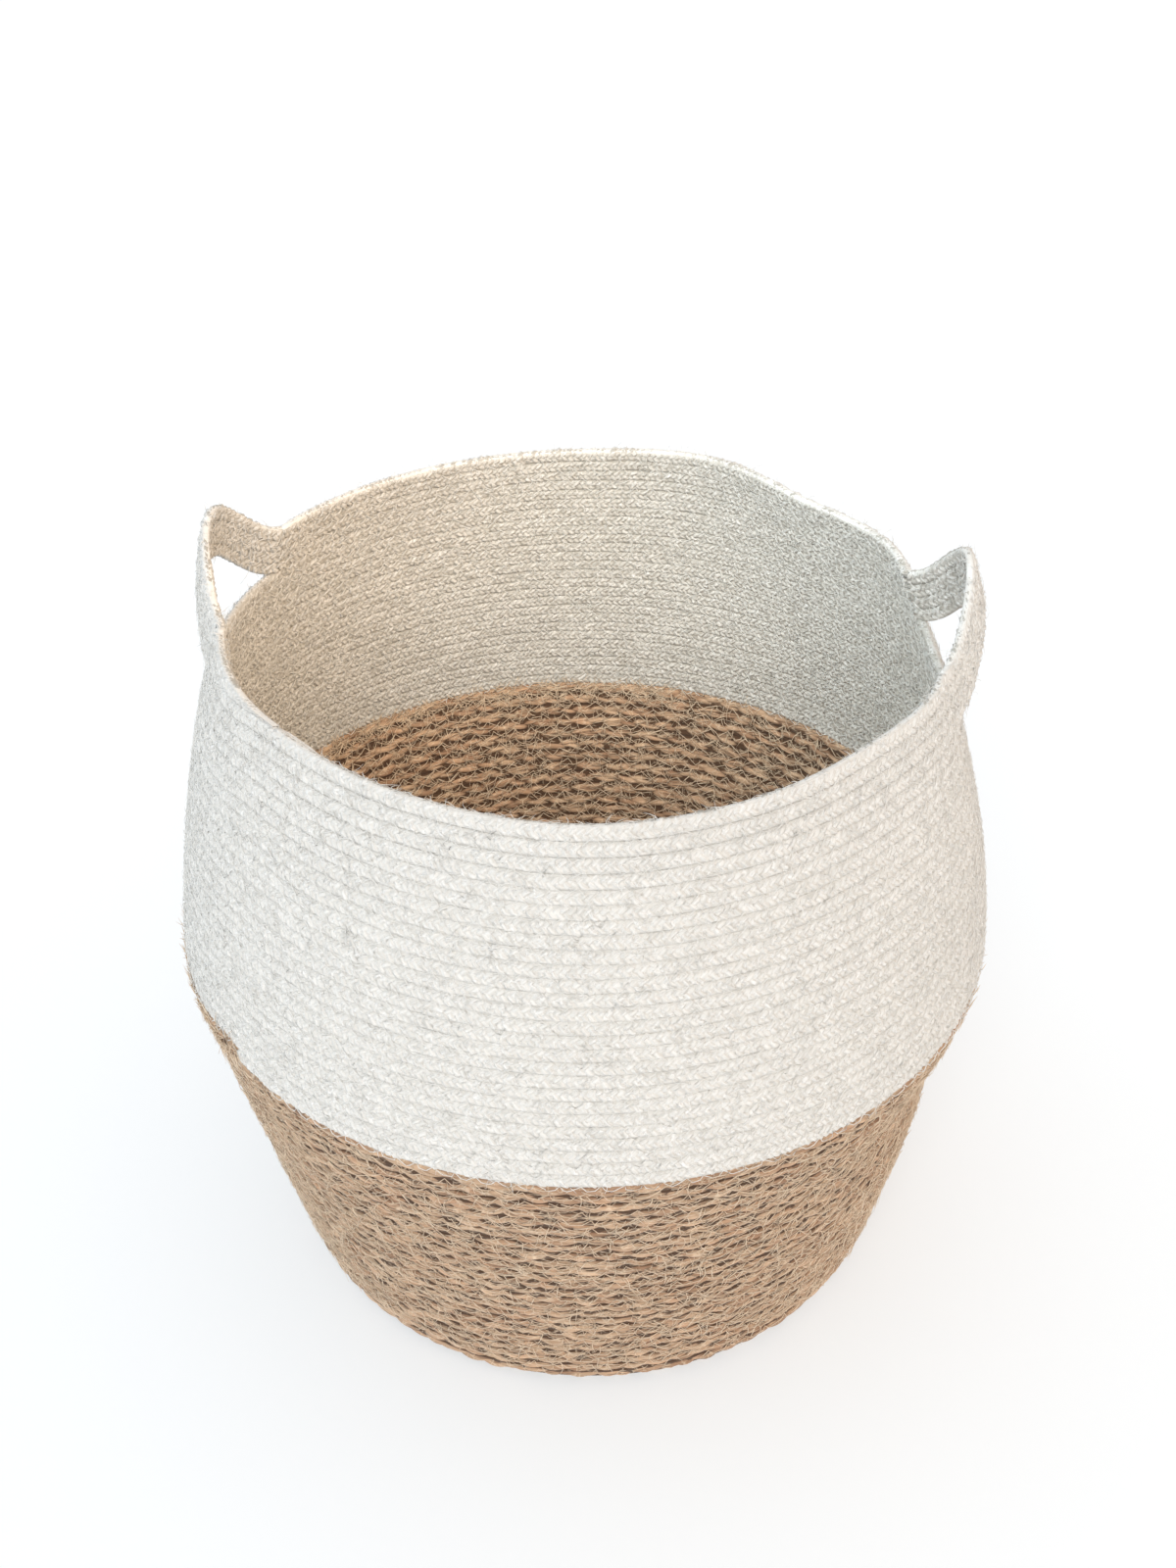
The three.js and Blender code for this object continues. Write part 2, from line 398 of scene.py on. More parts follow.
@dataclass
class TubeMesh:
    """Closed tubes gathered into one mesh, with the values that their finish reads."""

    points: list = field(default_factory=list)
    quads: list = field(default_factory=list)
    caps: list = field(default_factory=list)
    strand: list = field(default_factory=list)
    proud: list = field(default_factory=list)
    tone: list = field(default_factory=list)
    count: int = 0

    def add(self, rings: np.ndarray, strand: np.ndarray, proud: np.ndarray | float,
            tone: np.ndarray | float) -> None:
        """Add one tube.

        Args:
            rings: Points, shaped (rings, points in a ring, 3).
            strand: Coordinates along and round the strand, shaped like rings.
            proud: How far each point stands out of the braid, 0 to 1, lowered where shade is painted; the
                finish paints low values darker.
            tone: How light the fibre is at each point, 0 to 1.
        """
        n, m, _ = rings.shape
        base = self.count + np.arange(n - 1)[:, None] * m
        j = np.arange(m)[None, :]
        k = (j + 1) % m
        self.quads.append(np.stack([base + j, base + k, base + m + k, base + m + j], -1).reshape(-1, 4))
        ring = np.arange(m)
        self.caps.append(np.stack([self.count + ring[::-1], self.count + (n - 1) * m + ring]))
        self.points.append(rings.reshape(-1, 3))
        self.strand.append(strand.reshape(-1, 3))
        self.proud.append(np.broadcast_to(proud, (n, m)).reshape(-1))
        self.tone.append(np.broadcast_to(tone, (n, m)).reshape(-1))
        self.count += n * m

    def build(self, name: str, material: bpy.types.Material) -> bpy.types.Object:
        """Make the mesh object.

        Args:
            name: The object's name.
            material: Its finish.

        Returns:
            The object, linked to the scene, smooth but for the flat ends of its tubes.
        """
        quads = np.concatenate(self.quads)
        mesh = bpy.data.meshes.new(name)
        mesh.vertices.add(self.count)
        mesh.vertices.foreach_set("co", np.concatenate(self.points).astype(np.float32).ravel())
        loops = np.concatenate([quads.ravel(), *(cap.ravel() for cap in self.caps)]).astype(np.int32)
        sides = np.concatenate([np.full(len(quads), 4), *(np.full(2, cap.shape[1]) for cap in self.caps)])
        starts = np.concatenate([[0], np.cumsum(sides)[:-1]])
        mesh.loops.add(len(loops))
        mesh.loops.foreach_set("vertex_index", loops)
        mesh.polygons.add(len(starts))
        mesh.polygons.foreach_set("loop_start", starts.astype(np.int32))
        mesh.update(calc_edges=True)
        mesh.validate()
        ends = mesh.attributes.new("sharp_face", "BOOLEAN", "FACE")
        ends.data.foreach_set("value", np.arange(len(sides)) >= len(quads))
        for label, kind, values in (
            ("strand", "FLOAT_VECTOR", self.strand),
            ("proud", "FLOAT", self.proud),
            ("tone", "FLOAT", self.tone),
        ):
            attribute = mesh.attributes.new(label, kind, "POINT")
            flat = np.concatenate(values).astype(np.float32).ravel()
            attribute.data.foreach_set("vector" if kind == "FLOAT_VECTOR" else "value", flat)
        mesh.materials.append(material)
        made = bpy.data.objects.new(name, mesh)
        bpy.context.scene.collection.objects.link(made)
        return made


@dataclass(frozen=True)
class BraidSpec:
    """How a three-strand braid is made, in metres."""

    repeat: float
    samples: int
    sides: int
    swing: float
    depth: float
    strand_width: float
    strand_depth: float
    uneven: float
    slack: float
    phase_drift: float
    pitch: float
    # painted shade at the braid's edges
    edge_shade: float
    core_depth: float
    # painted shade: how proud the core and the wall's inside read; the finish paints low values darker
    core_proud: float
    inner_proud: float

    @property
    def step(self) -> float:
        """The distance between samples."""
        return self.repeat / self.samples


class BraidedCoil:
    """Three strands plaited along a path, ready to be cut into stretches."""

    STRANDS = 3
    STRAND_OFFSET = 7.3  # metres along the grain, so that no two strands share it
    EDGE_START = 0.72  # the share of the half width where painted shade starts to darken a braid's edge
    # how proud the core reads where the next braid joins it, so that it takes less painted shade there
    JOINED_PROUD = 0.7
    CORE_SIDES = 8
    CORE_SQUARE = 0.35
    CORE_STRIDE = 3
    CORE_LAP = 0.15 * MM
    CORE_OFFSET = 31.0
    CORE_TONE = 0.5

    def __init__(self, path: CoilPath, spec: BraidSpec, rng: np.random.Generator) -> None:
        """Plait the strands.

        Args:
            path: The line of the braid's middle.
            spec: How the braid is made.
            rng: The source of random numbers.
        """
        self.path, self.spec = path, spec
        along, repeat = path.along, spec.repeat
        phase = TURN * along / repeat + wander(rng, along, 2.3 * repeat, spec.phase_drift)
        sway = wander(rng, along, 1.7 * repeat, spec.slack)
        self.strands = [self.strand(k, phase, sway, rng) for k in range(self.STRANDS)]
        self.strands.append(self.core())

    def strand(self, k: int, phase: np.ndarray, sway: np.ndarray, rng: np.random.Generator) -> tuple:
        """Lay one strand of the plait.

        Args:
            k: Which strand.
            phase: The plait's phase at each sample, in radians.
            sway: The whole braid's drift to the side at each sample.
            rng: The source of random numbers.

        Returns:
            The turn, rings, coordinates, how proud and the tone at each sample.
        """
        path, spec = self.path, self.spec
        along, repeat = path.along, spec.repeat
        around = TURN * np.arange(spec.sides) / spec.sides
        theta = phase + TURN * k / self.STRANDS + wander(rng, along, 1.3 * repeat, 0.3 * spec.phase_drift)
        loose = 1 + wander(rng, along, 0.45 * repeat, spec.uneven)
        sideways = spec.swing * path.width * np.sin(theta) + sway
        sideways = sideways + wander(rng, along, 0.4 * repeat, spec.slack)
        height = spec.depth * np.sin(2 * theta) * loose
        middle = path.points + sideways[:, None] * path.across + height[:, None] * path.outward
        ahead = unit(np.gradient(middle, axis=0))
        side = unit(np.cross(path.outward, ahead))
        top = np.cross(ahead, side)
        half_wide = spec.strand_width * path.width * (1 + wander(rng, along, 0.5 * repeat, spec.uneven))
        half_deep = spec.strand_depth * (1 + wander(rng, along, 0.5 * repeat, spec.uneven))
        wide, deep = half_wide[:, None] * np.cos(around), half_deep[:, None] * np.sin(around)
        rings = middle[:, None, :] + wide[:, :, None] * side[:, None, :] + deep[:, :, None] * top[:, None, :]
        reach = height[:, None] + deep
        proud = np.clip(np.abs(reach) / (spec.depth + spec.strand_depth), 0, 1)
        # painted shade: the wall's inside reads less proud, so the finish paints it darker
        proud = proud * np.where(reach < 0, spec.inner_proud, 1.0)
        edge = sideways[:, None] + wide
        # painted shade along the braid's edges, in the groove between turns; left off the last turn's upper
        # edge, where the next braid covers it
        shade = np.where((path.turn > path.turn[-1] - 1)[:, None] & (edge > 0), 0, spec.edge_shade)
        out_to = np.abs(edge) / (spec.swing + spec.strand_width)
        proud = proud * (1 - shade * smoothstep((out_to - self.EDGE_START) / (1 - self.EDGE_START)))
        coordinate = np.stack(np.broadcast_arrays(
            along[:, None] + self.STRAND_OFFSET * k,
            spec.strand_width * np.cos(around)[None, :],
            spec.strand_width * np.sin(around)[None, :]), -1)
        lobe = np.floor(theta / math.pi + 0.5).astype(int)
        shades = rng.uniform(0, 1, lobe.max() - lobe.min() + 1)
        return path.turn, rings, coordinate, proud, shades[lobe - lobe.min()][:, None]

    def core(self) -> tuple:
        """Lay the flat yarn that fills the middle of the braid and closes the gaps between turns.

        Returns:
            The turn, rings, coordinates, how proud and the tone at each sample.
        """
        path, spec = self.path, self.spec
        keep = np.append(np.arange(0, len(path.turn) - 1, self.CORE_STRIDE), len(path.turn) - 1)
        around = TURN * (np.arange(self.CORE_SIDES) + 0.5) / self.CORE_SIDES
        wide = np.sign(np.cos(around)) * np.abs(np.cos(around)) ** self.CORE_SQUARE
        deep = np.sign(np.sin(around)) * np.abs(np.sin(around)) ** self.CORE_SQUARE
        half_wide = (spec.pitch / 2 + self.CORE_LAP) * path.width[keep]
        rings = (path.points[keep, None, :]
                 + (half_wide[:, None] * wide)[:, :, None] * path.across[keep, None, :]
                 - (spec.core_depth * deep)[None, :, None] * path.outward[keep, None, :])
        coordinate = np.stack(np.broadcast_arrays(
            path.along[keep, None] + self.CORE_OFFSET, spec.pitch * wide[None, :], 0.0), -1)
        # painted shade on the core: it reads little proud, and less on the wall's inside, so the finish
        # paints it dark; where the next braid joins it reads prouder and takes less
        proud = spec.core_proud * np.where(deep > 0, spec.inner_proud, 1.0)
        joined = (path.turn[keep] > path.turn[-1] - 1)[:, None] & (wide > 0)
        tone = np.full((len(keep), self.CORE_SIDES), self.CORE_TONE)
        return path.turn[keep], rings, coordinate, np.where(joined, self.JOINED_PROUD, proud), tone

    def cut(self, first: float, last: float) -> TubeMesh:
        """Cut out one stretch of the braid.

        Args:
            first: The turn to start at.
            last: The turn to end at.

        Returns:
            The stretch, as closed tubes.
        """
        mesh = TubeMesh()
        for turn, rings, coordinate, proud, tone in self.strands:
            low, high = np.searchsorted(turn, (first, last))
            part = slice(low, high + 1)
            mesh.add(rings[part], coordinate[part], proud[part], tone[part])
        return mesh


def tube(points: np.ndarray, radius: np.ndarray, sides: int) -> np.ndarray:
    """Return rings of points round each of several lines.

    Args:
        points: Lines, shaped (lines, points, 3).
        radius: Half thickness, shaped like the first two sizes of points.
        sides: How many points go round.

    Returns:
        Rings, shaped (lines, points, sides, 3).
    """
    ahead = unit(np.gradient(points, axis=1))
    helper = np.where(np.abs(ahead[..., 2:3]) > 0.8, [[[1.0, 0, 0]]], [[[0, 0, 1.0]]])
    side = unit(np.cross(helper, ahead))
    top = np.cross(ahead, side)
    around = TURN * np.arange(sides) / sides
    return (points[:, :, None, :]
            + (radius[..., None] * np.cos(around))[..., None] * side[:, :, None, :]
            + (radius[..., None] * np.sin(around))[..., None] * top[:, :, None, :])


@dataclass(frozen=True)
class SeamThread:
    """Sewing thread that zigzags over the groove between two turns, on one face of the wall."""

    coiler: Coiler
    stitch: float
    reach: float
    thickness: float
    crest: float
    sides: int = 4

    def line(self, first: float, last: float, face: Face, rng: np.random.Generator) -> TubeMesh:
        """Sew one stretch.

        Args:
            first: The turn to start at.
            last: The turn to end at.
            face: The side of the wall.
            rng: The source of random numbers.

        Returns:
            The thread as one tube.
        """
        seam = self.coiler.path(first, last, self.stitch / 2, 0.0)
        n = len(seam.turn)
        beat = np.arange(n)
        reach = self.reach * (1 + rng.uniform(-0.25, 0.25, n))
        across = np.where(beat % 4 == 1, reach, np.where(beat % 4 == 3, -reach, 0))
        height = self.crest * np.where(beat % 2 == 1, 0.74, 1.0) * (1 + rng.uniform(-0.04, 0.04, n))
        shift = rng.uniform(-0.3, 0.3, n) * self.stitch
        points = (seam.points + across[:, None] * seam.across + (face.value * height)[:, None] * seam.outward
                  + shift[:, None] * seam.forward)
        radius = np.full((1, n), self.thickness / 2)
        rings = tube(points[None], radius, self.sides)[0]
        mesh = TubeMesh()
        coordinate = np.stack(np.broadcast_arrays(seam.along[:, None], np.zeros((1, self.sides)), 0.0), -1)
        mesh.add(rings, coordinate, np.ones((n, self.sides)), np.full((n, self.sides), 0.75))
        return mesh


@dataclass(frozen=True)
class StrayFibres:
    """Loose fibre ends that lie on the braid or stand off it."""

    coiler: Coiler
    crest: float
    shortest: float
    longest: float
    thickness: float
    stand: float
    heading_spread: float
    curl: float = 0.35
    edge_row: float = 0.97
    root_depth: float = 0.8  # where a fibre leaves the braid, as a share of the crest
    sides: int = 3

    def scatter(self, first: float, last: float, count: int, rng: np.random.Generator,
                inner_share: float = 0.45, edge_share: float = 0.0) -> TubeMesh:
        """Scatter fibres over a stretch of the coil.

        Args:
            first: The turn to start at.
            last: The turn to end at.
            count: How many fibres.
            rng: The source of random numbers.
            inner_share: The share of them on the inside.
            edge_share: The share of them that stand on the braid's upper edge.

        Returns:
            The fibres as thin tubes.
        """
        turn = rng.uniform(first, last, count)
        row = rng.uniform(0.05, 0.95, count)
        on_edge = rng.uniform(0, 1, count) < edge_share
        row = np.where(on_edge, self.edge_row, row)
        small, rows = 0.004, 0.05
        here = self.coiler.locate(turn, row)
        forward = unit(self.coiler.locate(turn + small, row) - self.coiler.locate(turn - small, row))
        across = unit(self.coiler.locate(turn, row + rows) - self.coiler.locate(turn, row - rows))
        outward = unit(np.cross(forward, across))
        face = np.where(rng.uniform(0, 1, count) < inner_share, Face.INSIDE.value, Face.OUTSIDE.value)
        normal = np.where(on_edge[:, None], across, face[:, None] * outward)
        across = np.where(on_edge[:, None], outward, across)
        heading = rng.normal(0, self.heading_spread, count)
        heading = heading + np.where(rng.uniform(0, 1, count) < 0.5, 0, math.pi)
        direction = np.cos(heading)[:, None] * forward + np.sin(heading)[:, None] * across
        bend = rng.normal(0, self.curl, count)[:, None] * np.cross(normal, direction)
        length = rng.uniform(self.shortest, self.longest, count)
        rise = rng.uniform(0.0, 1.0, count) ** 2 * self.stand
        start = here + np.where(on_edge, 0.0, self.crest * self.root_depth)[:, None] * normal
        taper = np.array([1, 1, 0.8, 0.35])
        steps = np.linspace(0, 1, len(taper))
        points = []
        for s in steps:
            lie = self.crest * 0.25 * min(1.0, 3 * s)
            off = lie + rise * s**1.5
            points.append(start + (length * s)[:, None] * direction + (length * s * s)[:, None] * bend
                          + off[:, None] * normal)
        lines = np.stack(points, 1)
        radius = (self.thickness / 2) * rng.uniform(0.6, 1.2, count)[:, None] * taper
        rings = tube(lines, radius, self.sides)
        tones = rng.uniform(0.35, 1.0, count)
        mesh = TubeMesh()
        for i in range(count):
            coordinate = np.zeros(rings[i].shape)
            coordinate[..., 0] = (length[i] * steps)[:, None] + i
            mesh.add(rings[i], coordinate, 1.0, tones[i])
        return mesh


class NodeGroups:
    """The effects that both braids' finishes share, each built once."""

    @staticmethod
    def _start(name: str, inputs: dict, outputs: tuple[str, ...]) -> tuple:
        """Begin a node group.

        Args:
            name: The group's name.
            inputs: Socket names with their default value, a vector as a tuple.
            outputs: Names of the output values.

        Returns:
            The tree, its input node and its output node.
        """
        tree = bpy.data.node_groups.new(name, "ShaderNodeTree")
        for label, value in inputs.items():
            kind = "NodeSocketVector" if isinstance(value, tuple) else "NodeSocketFloat"
            socket = tree.interface.new_socket(name=label, in_out="INPUT", socket_type=kind)
            if kind == "NodeSocketFloat":
                socket.default_value = value
        for label in outputs:
            tree.interface.new_socket(name=label, in_out="OUTPUT", socket_type="NodeSocketFloat")
        return tree, tree.nodes.new("NodeGroupInput"), tree.nodes.new("NodeGroupOutput")

    @staticmethod
    def _noise(tree: bpy.types.NodeTree, detail: float) -> bpy.types.Node:
        """Add a noise texture.

        Args:
            tree: The node group.
            detail: How many finer layers it has.

        Returns:
            The node.
        """
        texture = tree.nodes.new("ShaderNodeTexNoise")
        texture.inputs["Detail"].default_value = detail
        return texture

    @staticmethod
    def _math(tree: bpy.types.NodeTree, operation: str) -> bpy.types.Node:
        """Add a sum.

        Args:
            tree: The node group.
            operation: The kind of sum.

        Returns:
            The node.
        """
        node = tree.nodes.new("ShaderNodeMath")
        node.operation = operation
        return node

    @staticmethod
    def _ease(tree: bpy.types.NodeTree, low: float = 0.0, high: float = 1.0,
              fall: bool = False) -> bpy.types.Node:
        """Add an eased mask.

        Args:
            tree: The node group.
            low: Where the mask starts to change.
            high: Where it has changed.
            fall: Whether it falls from 1 to 0 and doesn't rise.

        Returns:
            The node.
        """
        node = tree.nodes.new("ShaderNodeMapRange")
        node.interpolation_type = "SMOOTHSTEP"
        ends = (1.0, 0.0) if fall else (0.0, 1.0)
        for label, value in zip(("From Min", "From Max", "To Min", "To Max"), (low, high, *ends)):
            node.inputs[label].default_value = value
        return node

    @staticmethod
    @cache
    def fibre_grain() -> bpy.types.NodeTree:
        """Fibres and yarns that run along a strand.

        Returns:
            The group: a streak mask, a mask of painted shade in the gaps between yarns and a bump height.
        """
        tree, start, end = NodeGroups._start(
            "fibre_grain", {"Strand": (0, 0, 0), "Fineness": 900.0, "Length": 0.08, "Yarns": 260.0},
            ("Streak", "Gap", "Height"),
        )
        links = tree.links
        split = tree.nodes.new("ShaderNodeSeparateXYZ")
        squeeze = NodeGroups._math(tree, "MULTIPLY")
        join = tree.nodes.new("ShaderNodeCombineXYZ")
        fine, yarn = NodeGroups._noise(tree, 2.0), NodeGroups._noise(tree, 1.0)
        relief, both = NodeGroups._math(tree, "MULTIPLY_ADD"), NodeGroups._math(tree, "ADD")
        relief.inputs[1].default_value = 1.2
        # the gap mask is painted shade where the yarn noise is low
        streak, gap = NodeGroups._ease(tree, 0.78, 1.22), NodeGroups._ease(tree, 0.36, 0.42, fall=True)
        links.new(start.outputs["Strand"], split.inputs[0])
        links.new(split.outputs["X"], squeeze.inputs[0])
        links.new(start.outputs["Length"], squeeze.inputs[1])
        links.new(squeeze.outputs[0], join.inputs["X"])
        links.new(split.outputs["Y"], join.inputs["Y"])
        links.new(split.outputs["Z"], join.inputs["Z"])
        for texture, scale in ((fine, "Fineness"), (yarn, "Yarns")):
            links.new(join.outputs[0], texture.inputs["Vector"])
            links.new(start.outputs[scale], texture.inputs["Scale"])
        links.new(yarn.outputs["Fac"], relief.inputs[0])
        links.new(fine.outputs["Fac"], relief.inputs[2])
        links.new(yarn.outputs["Fac"], both.inputs[0])
        links.new(fine.outputs["Fac"], both.inputs[1])
        links.new(both.outputs[0], streak.inputs["Value"])
        links.new(yarn.outputs["Fac"], gap.inputs["Value"])
        for node, label in ((streak, "Streak"), (gap, "Gap"), (relief, "Height")):
            links.new(node.outputs[0], end.inputs[label])
        return tree

    @staticmethod
    @cache
    def uneven_tone() -> bpy.types.NodeTree:
        """Lighter and darker blotches over the basket.

        Returns:
            The group: one mask.
        """
        tree, start, end = NodeGroups._start(
            "uneven_tone", {"Position": (0, 0, 0), "Blotches": 120.0}, ("Blotch",))
        texture, spread = NodeGroups._noise(tree, 3.0), NodeGroups._ease(tree, 0.35, 0.65)
        tree.links.new(start.outputs["Position"], texture.inputs["Vector"])
        tree.links.new(start.outputs["Blotches"], texture.inputs["Scale"])
        tree.links.new(texture.outputs["Fac"], spread.inputs["Value"])
        tree.links.new(spread.outputs[0], end.inputs["Blotch"])
        return tree

    @staticmethod
    @cache
    def crevice_shade() -> bpy.types.NodeTree:
        """Painted shade between the strands, from how far a point stands out of the braid.

        Returns:
            The group: one mask.
        """
        tree, start, end = NodeGroups._start(
            "crevice_shade", {"Proud": 1.0, "Deep": 0.2, "Shallow": 0.8}, ("Dark",))
        spread = NodeGroups._ease(tree, fall=True)
        tree.links.new(start.outputs["Proud"], spread.inputs["Value"])
        tree.links.new(start.outputs["Deep"], spread.inputs["From Min"])
        tree.links.new(start.outputs["Shallow"], spread.inputs["From Max"])
        tree.links.new(spread.outputs[0], end.inputs["Dark"])
        return tree

    @staticmethod
    @cache
    def curly_fibres() -> bpy.types.NodeTree:
        """Fine fibres that curl over the surface in every direction.

        Returns:
            The group: one mask of thin broken lines.
        """
        tree, start, end = NodeGroups._start(
            "curly_fibres", {"Position": (0, 0, 0), "Scale": 300.0, "Curl": 0.004, "Width": 0.1}, ("Line",))
        links = tree.links
        sway, breaks = NodeGroups._noise(tree, 1.0), NodeGroups._noise(tree, 1.0)
        centre, push, moved = (tree.nodes.new("ShaderNodeVectorMath") for _ in range(3))
        centre.operation, push.operation = "SUBTRACT", "SCALE"
        centre.inputs[1].default_value = (0.5, 0.5, 0.5)
        cells = tree.nodes.new("ShaderNodeTexVoronoi")
        cells.feature = "DISTANCE_TO_EDGE"
        thin, broken = NodeGroups._ease(tree, fall=True), NodeGroups._ease(tree, 0.42, 0.56)
        both = NodeGroups._math(tree, "MULTIPLY")
        for texture in (sway, cells, breaks):
            links.new(start.outputs["Scale"], texture.inputs["Scale"])
        for socket in (sway.inputs["Vector"], breaks.inputs["Vector"], moved.inputs[0]):
            links.new(start.outputs["Position"], socket)
        links.new(sway.outputs["Color"], centre.inputs[0])
        links.new(centre.outputs[0], push.inputs[0])
        links.new(start.outputs["Curl"], push.inputs["Scale"])
        links.new(push.outputs[0], moved.inputs[1])
        links.new(moved.outputs[0], cells.inputs["Vector"])
        links.new(cells.outputs["Distance"], thin.inputs["Value"])
        links.new(start.outputs["Width"], thin.inputs["From Max"])
        links.new(breaks.outputs["Fac"], broken.inputs["Value"])
        links.new(thin.outputs[0], both.inputs[0])
        links.new(broken.outputs[0], both.inputs[1])
        links.new(both.outputs[0], end.inputs["Line"])
        return tree


@dataclass(frozen=True)
class BraidFinish:
    """The look of one braid's fibre, with painted shade in its crevices: linear colours, and how strongly
    each effect shows.
    """

    name: str
    light: Triple
    dark: Triple
    patch: Triple
    # the colour of painted shade, laid where the braid lies deep and in the gaps between yarns
    crevice_shade: Triple
    fibre: Triple
    tone_share: float
    patch_share: float
    streak_share: float
    # how strongly painted shade darkens the deep places, and up to how proud a point takes it
    crevice_shade_share: float
    crevice_shade_edge: float
    # how strongly painted shade darkens the gaps between yarns
    gap_share: float
    fineness: float
    yarns: float
    blotches: float
    bump: float
    roughness: float
    sheen: float
    curly_share: float
    curly_scale: float
    sheen_roughness: float = 0.6
    specular: float = 0.25
    curly_relief: float = 0.5
    relief_depth: float = 0.5 * MM

    def _mix(self, nodes: bpy.types.Nodes, links: bpy.types.NodeLinks, factor: bpy.types.NodeSocket,
             a: object, b: object) -> bpy.types.NodeSocket:
        """Mix two colours.

        Args:
            nodes: The material's nodes.
            links: The material's links.
            factor: Socket of the share of b.
            a: A colour or a socket.
            b: A colour or a socket.

        Returns:
            The mixed colour's socket.
        """
        mix = nodes.new("ShaderNodeMix")
        mix.data_type = "RGBA"
        links.new(factor, mix.inputs["Factor"])
        for label, value in (("A", a), ("B", b)):
            socket = [s for s in mix.inputs if s.name == label and s.type == "RGBA"][0]
            if isinstance(value, tuple):
                socket.default_value = (*value, 1.0)
            else:
                links.new(value, socket)
        return [s for s in mix.outputs if s.type == "RGBA"][0]

    def _weakened(self, nodes: bpy.types.Nodes, links: bpy.types.NodeLinks, mask: bpy.types.NodeSocket,
                  share: float) -> bpy.types.NodeSocket:
        """Weaken a mask.

        Args:
            nodes: The material's nodes.
            links: The material's links.
            mask: The mask's socket, 0 to 1.
            share: What 1 becomes.

        Returns:
            The weakened mask's socket.
        """
        spread = nodes.new("ShaderNodeMapRange")
        spread.inputs["To Max"].default_value = share
        links.new(mask, spread.inputs["Value"])
        return spread.outputs[0]

    def material(self) -> bpy.types.Material:
        """Make the finish: layers of colour from the light fibre up, painted shade among them, and a relief.

        Returns:
            The material.
        """
        made = bpy.data.materials.new(self.name)
        made.use_nodes = True
        nodes, links = made.node_tree.nodes, made.node_tree.links
        shader = nodes["Principled BSDF"]
        shader.inputs["Roughness"].default_value = self.roughness
        shader.inputs["Sheen Weight"].default_value = self.sheen
        shader.inputs["Sheen Roughness"].default_value = self.sheen_roughness
        shader.inputs["Specular IOR Level"].default_value = self.specular
        strand, proud, tone = (nodes.new("ShaderNodeAttribute") for _ in range(3))
        strand.attribute_name, proud.attribute_name, tone.attribute_name = "strand", "proud", "tone"
        position = nodes.new("ShaderNodeTexCoord")
        grain, uneven, crevice_shade, curly = (nodes.new("ShaderNodeGroup") for _ in range(4))
        grain.node_tree, uneven.node_tree = NodeGroups.fibre_grain(), NodeGroups.uneven_tone()
        crevice_shade.node_tree, curly.node_tree = NodeGroups.crevice_shade(), NodeGroups.curly_fibres()
        grain.inputs["Fineness"].default_value = self.fineness
        grain.inputs["Yarns"].default_value = self.yarns
        uneven.inputs["Blotches"].default_value = self.blotches
        crevice_shade.inputs["Shallow"].default_value = self.crevice_shade_edge
        curly.inputs["Scale"].default_value = self.curly_scale
        links.new(strand.outputs["Vector"], grain.inputs["Strand"])
        links.new(position.outputs["Object"], uneven.inputs["Position"])
        links.new(position.outputs["Object"], curly.inputs["Position"])
        links.new(proud.outputs["Fac"], crevice_shade.inputs["Proud"])
        colour = self.light
        # layers: random tone, blotches, fibre streaks, painted shade in the yarn gaps, painted shade in the
        # crevices, curly fibres
        for mask, share, over in (
            (tone.outputs["Fac"], self.tone_share, self.dark),
            (uneven.outputs["Blotch"], self.patch_share, self.patch),
            (grain.outputs["Streak"], self.streak_share, self.dark),
            (grain.outputs["Gap"], self.gap_share, self.crevice_shade),
            (crevice_shade.outputs["Dark"], self.crevice_shade_share, self.crevice_shade),
            (curly.outputs["Line"], self.curly_share, self.fibre),
        ):
            colour = self._mix(nodes, links, self._weakened(nodes, links, mask, share), colour, over)
        links.new(colour, shader.inputs["Base Color"])
        height = nodes.new("ShaderNodeMath")
        height.operation = "MULTIPLY_ADD"
        height.inputs[1].default_value = self.curly_relief
        links.new(curly.outputs["Line"], height.inputs[0])
        links.new(grain.outputs["Height"], height.inputs[2])
        bump = nodes.new("ShaderNodeBump")
        bump.inputs["Strength"].default_value = self.bump
        bump.inputs["Distance"].default_value = self.relief_depth
        links.new(height.outputs[0], bump.inputs["Height"])
        links.new(bump.outputs["Normal"], shader.inputs["Normal"])
        return made


# in each finish the crevice colour and its share are painted shade
NATURAL_FINISH = BraidFinish(
    name="natural_jute", light=(0.66, 0.425, 0.275), dark=(0.24, 0.135, 0.08), patch=(0.74, 0.57, 0.40),
    crevice_shade=(0.085, 0.045, 0.025), fibre=(0.86, 0.70, 0.52), tone_share=0.75, patch_share=0.5,
    streak_share=0.4, crevice_shade_share=0.97, crevice_shade_edge=0.68, gap_share=0.6, fineness=1300.0, yarns=480.0,
    blotches=60.0, bump=1.0, roughness=0.92, sheen=0.1, curly_share=0.45, curly_scale=190.0,
)
WHITE_FINISH = BraidFinish(
    name="white_cotton", light=(0.82, 0.805, 0.775), dark=(0.60, 0.58, 0.535), patch=(0.80, 0.785, 0.755),
    crevice_shade=(0.33, 0.305, 0.26), fibre=(0.90, 0.89, 0.87), tone_share=0.25, patch_share=0.3, streak_share=0.4,
    crevice_shade_share=0.75, crevice_shade_edge=0.66, gap_share=0.2, fineness=1500.0, yarns=620.0, blotches=90.0,
    bump=1.0, roughness=0.95, sheen=0.1, curly_share=0.8, curly_scale=240.0,
)
